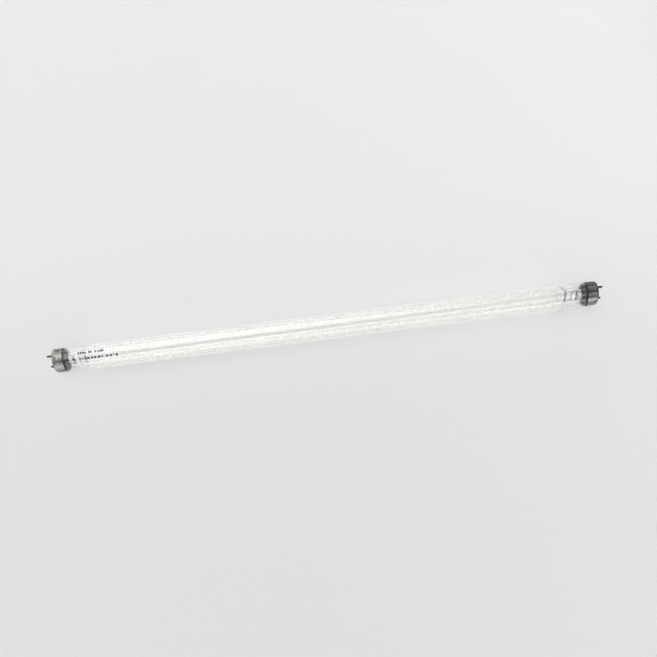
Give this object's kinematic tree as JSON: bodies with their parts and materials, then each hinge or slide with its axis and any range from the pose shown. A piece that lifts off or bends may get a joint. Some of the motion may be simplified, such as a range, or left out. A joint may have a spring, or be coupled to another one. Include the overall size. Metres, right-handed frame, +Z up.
{
  "type": "uvc germicidal lamp tube",
  "caption": "Straight clear glass ultraviolet lamp tube with a bi-pin metal cap at each end; stems, lead wires and coiled electrodes show through the glass.",
  "frame": {"origin": "on the surface that the lamp lies on, under the middle of its length", "axes": "+X along the tube towards the right cap, +Z up, pins' line leaning 49 degrees from +Z to +Y"},
  "size_m": [0.604, 0.0254, 0.0254],
  "materials": {
    "glass": "clear, thin whitish coating inside",
    "cap_metal": "drawn, dull, slightly stained",
    "plate": "pressed insulating board",
    "pin_metal": "nickel plated, dull",
    "cement": "baked basing cement",
    "stem_glass": "clear",
    "lead_wire": "nickel wire, oxidised grey",
    "coil_wire": "tungsten with pale emitter",
    "mercury": "liquid metal"
  },
  "bodies": {
    "root": {"glass_tube": "glass", "left_cap_shell": "cap_metal", "left_pin_plate": "plate", "left_upper_pin": "pin_metal", "left_lower_pin": "pin_metal", "left_cement": "cement", "left_stem": "stem_glass", "left_exhaust_tube": "stem_glass", "left_upper_lead": "lead_wire", "left_lower_lead": "lead_wire", "left_coil": "coil_wire", "right_cap_shell": "cap_metal", "right_pin_plate": "plate", "right_upper_pin": "pin_metal", "right_lower_pin": "pin_metal", "right_cement": "cement", "right_stem": "stem_glass", "right_exhaust_tube": "stem_glass", "right_upper_lead": "lead_wire", "right_lower_lead": "lead_wire", "right_coil": "coil_wire", "mercury_bead": "mercury"}
  },
  "joints": []
}
